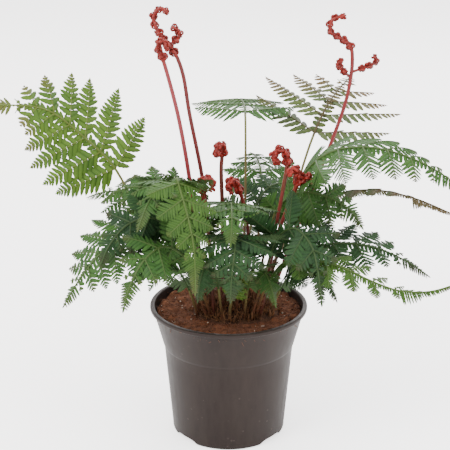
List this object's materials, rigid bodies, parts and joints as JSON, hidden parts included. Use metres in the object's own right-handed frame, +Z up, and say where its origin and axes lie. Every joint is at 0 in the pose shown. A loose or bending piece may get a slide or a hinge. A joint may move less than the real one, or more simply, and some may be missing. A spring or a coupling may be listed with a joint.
{
  "type": "potted autumn fern",
  "caption": "Fern with arching, finely cut fronds and coiled red young fronds, growing from a scaly crown in a round nursery pot with a flared collar and notched foot.",
  "frame": {"origin": "centre of the pot's flat underside", "axes": "+Z up along the pot's axis, -Y towards the front that the picture shows, +X to its right"},
  "size_m": [0.375, 0.2926, 0.3572],
  "materials": {
    "pot": "satin",
    "potting_mix": "matte",
    "crown": "matte",
    "crozier": "satin",
    "frond_bright": "satin",
    "frond_olive": "satin",
    "frond_mid": "satin",
    "frond_dark": "satin"
  },
  "bodies": {
    "root": {"pot": "pot", "potting_mix": "potting_mix", "crown": "crown", "crozier_left": "crozier", "crozier_tall_left": "crozier", "crozier_tall_right": "crozier", "crozier_mid": "crozier", "crozier_mid_left": "crozier", "crozier_mid_right": "crozier", "crozier_brown": "crozier", "crozier_open": "crozier", "frond_upper_left": "frond_bright", "frond_front_lime": "frond_bright", "frond_right_low": "frond_bright", "frond_seedling": "frond_bright", "frond_upper_right": "frond_olive", "frond_right_big": "frond_mid", "frond_upper_centre": "frond_mid", "frond_left_high": "frond_mid", "frond_right_edge": "frond_mid", "frond_front_left": "frond_mid", "frond_centre_high": "frond_mid", "frond_left_inner": "frond_mid", "frond_right_mid": "frond_mid", "frond_back_centre": "frond_mid", "frond_left_droop": "frond_dark", "frond_left_front": "frond_dark", "frond_centre_dark": "frond_dark", "frond_left_mid": "frond_dark", "frond_front_centre": "frond_dark", "frond_right_dark": "frond_dark", "frond_front_right": "frond_dark", "frond_back_left": "frond_dark", "frond_back_right": "frond_dark", "frond_back_low": "frond_dark", "frond_low_left": "frond_dark", "frond_low_centre": "frond_dark", "frond_low_middle": "frond_mid", "frond_low_right": "frond_dark"}
  },
  "joints": []
}
